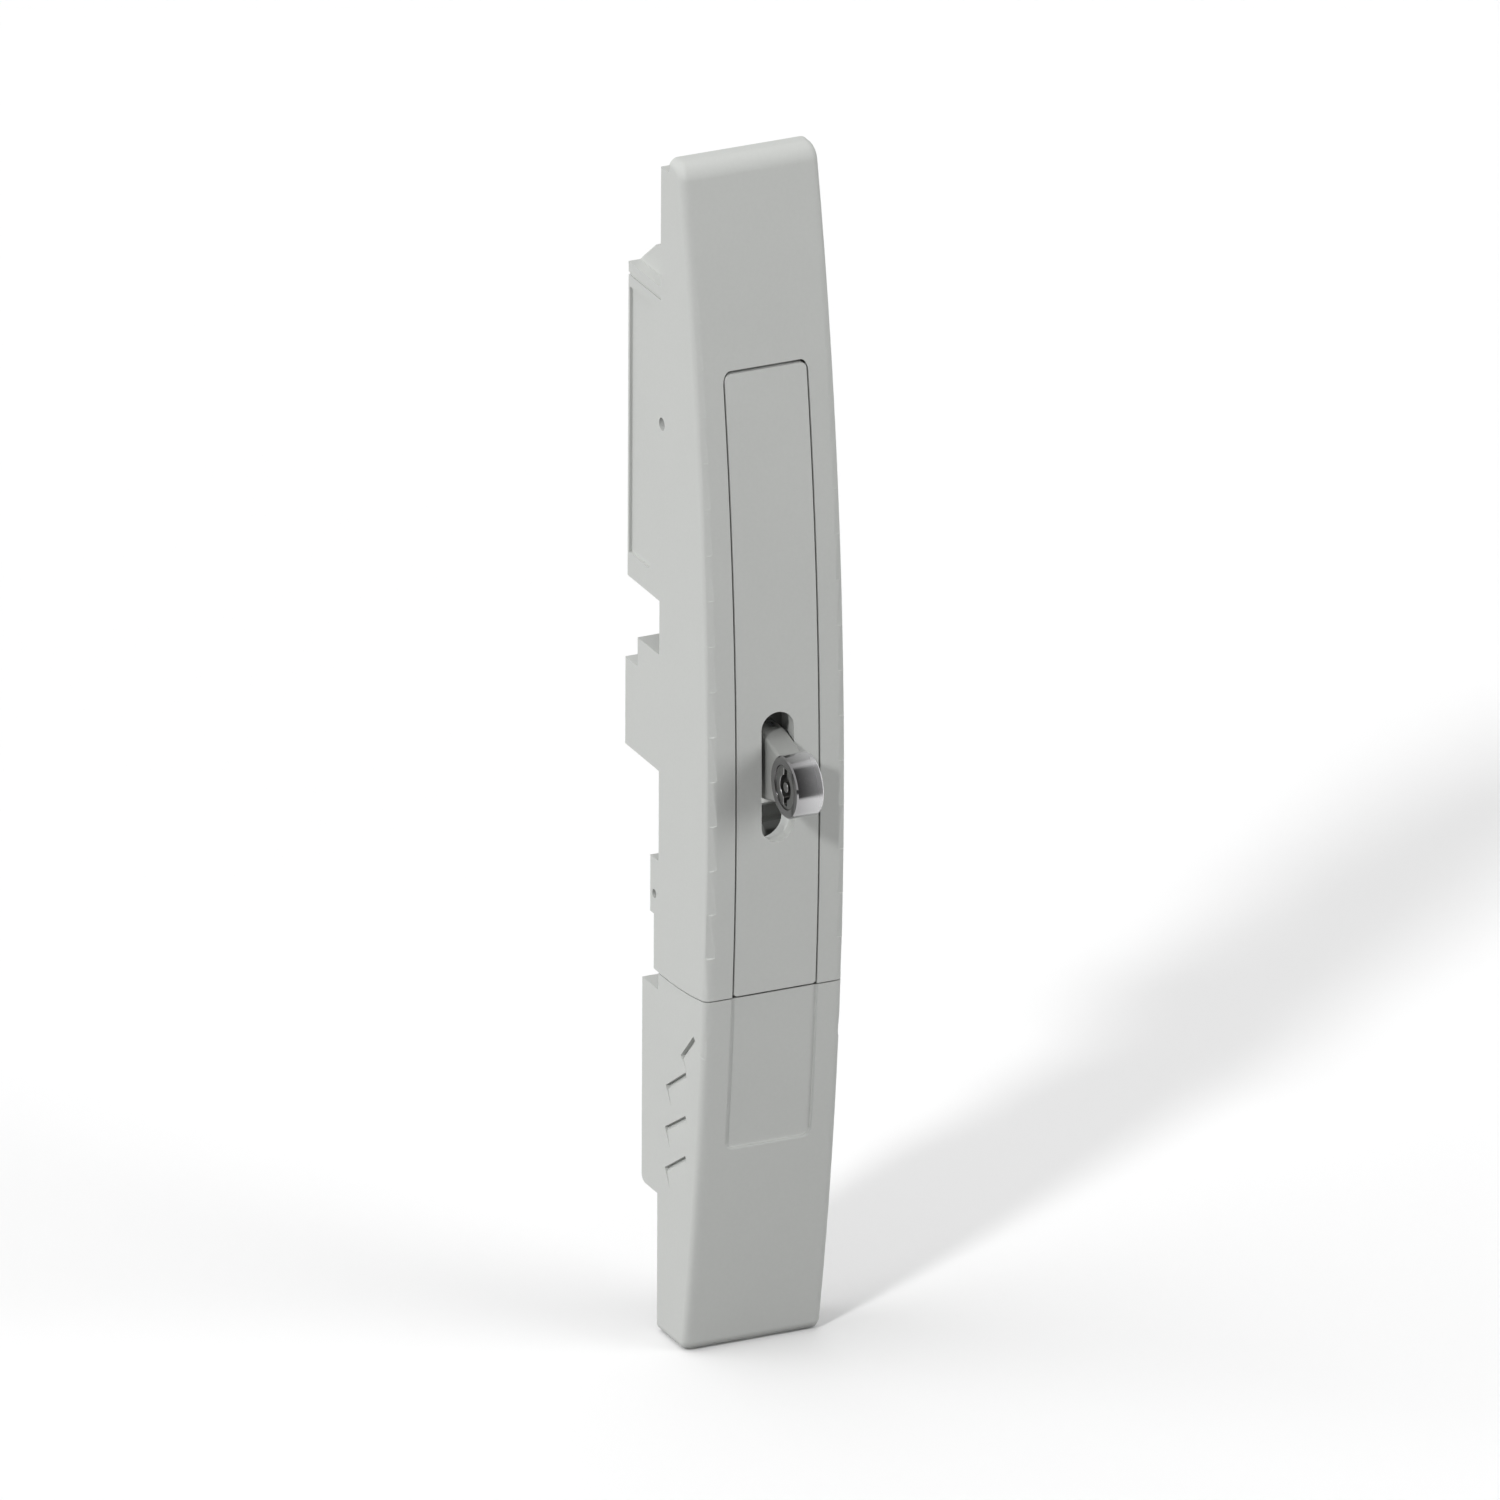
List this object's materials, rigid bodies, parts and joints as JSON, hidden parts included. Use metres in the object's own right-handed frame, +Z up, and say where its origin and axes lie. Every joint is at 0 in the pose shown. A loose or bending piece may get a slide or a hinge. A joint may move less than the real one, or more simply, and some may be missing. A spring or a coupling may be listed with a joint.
{
  "type": "cabinet locking handle",
  "caption": "Bowed vertical swing handle for a cabinet door with an inlaid panel, a slotted lock neck with a bright barrel and a toothed drive for a locking rod.",
  "frame": {"origin": "centre of the two fixing holes, in the door plane", "axes": "+Z up along the handle, the front faces -Y, and +Y points into the cabinet through the door plane"},
  "size_m": [0.036, 0.0684, 0.302],
  "materials": {
    "shell": "fine matt grain",
    "panel": "fine matt grain",
    "casting": "powder coated zinc casting",
    "neck": "satin grey coat",
    "steel": "zinc plated",
    "screw": "zinc plated",
    "bright": "polished",
    "core": "satin nickel",
    "bush": "plain bearing plastic",
    "rubber": "matt"
  },
  "bodies": {
    "frame": {"housing": "shell", "pivot_pin": "steel", "lock_body": "neck", "lock_cover": "neck", "lock_screws": "screw", "barrel": "bright", "stop_buffers": "rubber"},
    "lever": {"grip_shell": "shell", "inlay_panel": "panel", "lever_arm": "casting", "gear_segment": "steel", "gear_screws": "screw", "pivot_bush_left": "bush", "pivot_bush_right": "bush", "keeper_plate": "steel", "keeper_screws": "screw", "grip_screws": "screw"},
    "core": {"key_core": "core", "core_cam": "steel"},
    "bolt": {"latch_bolt": "steel"}
  },
  "joints": [
    {"name": "lever_swing", "type": "hinge", "parent": "frame", "child": "lever", "pos_m": [0, -0.001, 0.027], "axis": [-1, 0, 0], "range_deg": [0, 72]},
    {"name": "key_turn", "type": "hinge", "parent": "frame", "child": "core", "pos_m": [0, -0.039, -0.054], "axis": [1, 0, 0], "range_deg": [0, 90]},
    {"name": "bolt_slide", "type": "slide", "parent": "frame", "child": "bolt", "axis": [0, 0, 1], "range_m": [0, 0.00453]}
  ],
  "couplings": [
    {"joint": "key_turn", "follows": "bolt_slide", "rad_per_m": 346.7}
  ]
}
